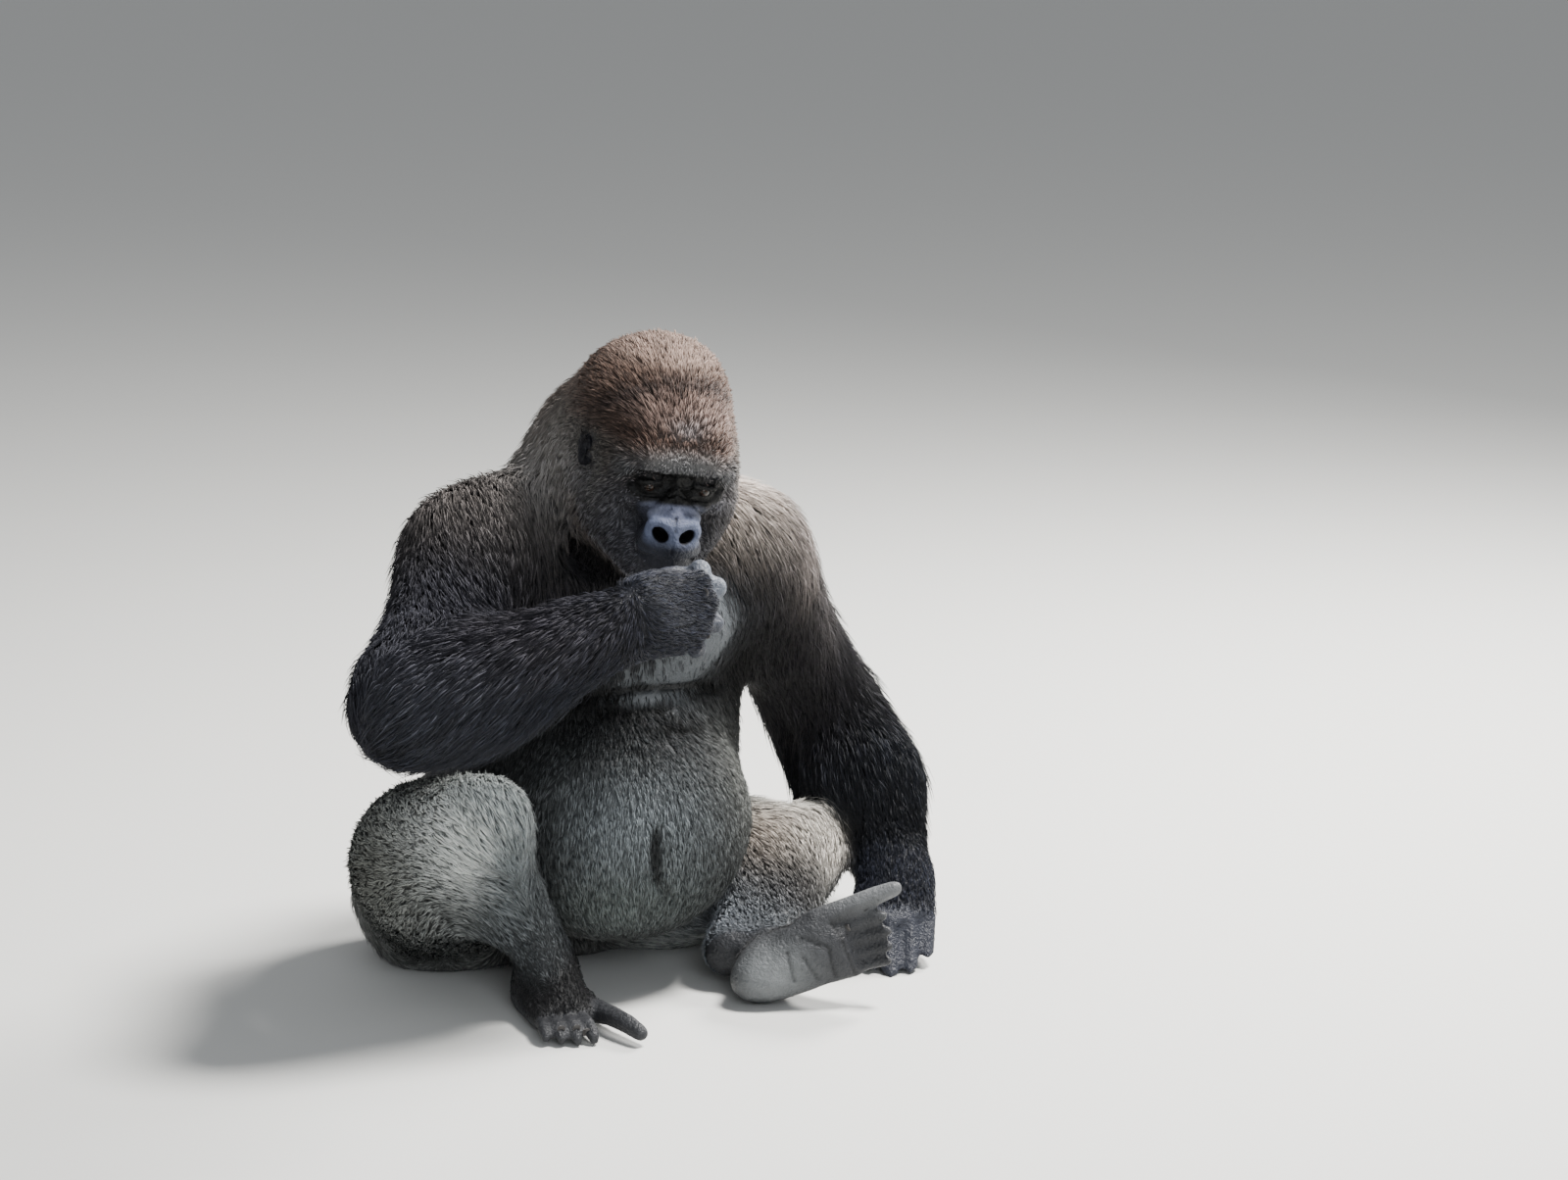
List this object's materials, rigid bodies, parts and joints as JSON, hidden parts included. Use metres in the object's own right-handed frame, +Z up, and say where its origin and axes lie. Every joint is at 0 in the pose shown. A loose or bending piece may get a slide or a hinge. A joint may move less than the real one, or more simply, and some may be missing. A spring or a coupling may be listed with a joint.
{
  "type": "gorilla",
  "caption": "Still, life-size adult male western lowland gorilla that sits with its chin on its right fist and its left sole turned outwards.",
  "frame": {"origin": "on the floor under the middle of the rump, which rests on it", "axes": "+Z up; the animal faces -Y and its left side is +X"},
  "size_m": [1.1045, 0.7898, 1.0366],
  "materials": {
    "coat_black": "long shaggy black hair with a soft sheen",
    "coat_grey": "short dark grey hair, flecked with pale hairs",
    "coat_silver": "short silver-grey hair with dark flecks",
    "coat_brown": "short dense red-brown hair",
    "bare_skin": "bare wrinkled blue-grey skin, slightly glossy",
    "eye": "wet dark brown"
  },
  "bodies": {
    "root": {"eye_right": "eye", "eye_left": "eye", "head": "coat_brown", "jaw": "coat_grey", "ear_right": "bare_skin", "ear_left": "bare_skin", "index_finger_right": "bare_skin", "middle_finger_right": "bare_skin", "ring_finger_right": "bare_skin", "little_finger_right": "bare_skin", "thumb_right": "bare_skin", "upper_arm_right": "coat_black", "forearm_right": "coat_black", "hand_right": "bare_skin", "toe_2_right": "bare_skin", "toe_3_right": "bare_skin", "toe_4_right": "bare_skin", "toe_5_right": "bare_skin", "big_toe_right": "bare_skin", "thigh_right": "coat_silver", "shin_right": "coat_grey", "foot_right": "bare_skin", "index_finger_left": "bare_skin", "middle_finger_left": "bare_skin", "ring_finger_left": "bare_skin", "little_finger_left": "bare_skin", "thumb_left": "bare_skin", "upper_arm_left": "coat_black", "forearm_left": "coat_black", "hand_left": "bare_skin", "toe_2_left": "bare_skin", "toe_3_left": "bare_skin", "toe_4_left": "bare_skin", "toe_5_left": "bare_skin", "big_toe_left": "bare_skin", "thigh_left": "coat_silver", "shin_left": "coat_grey", "foot_left": "bare_skin", "chest": "coat_grey", "abdomen": "coat_grey", "pelvis": "coat_silver", "neck": "coat_brown"}
  },
  "joints": []
}
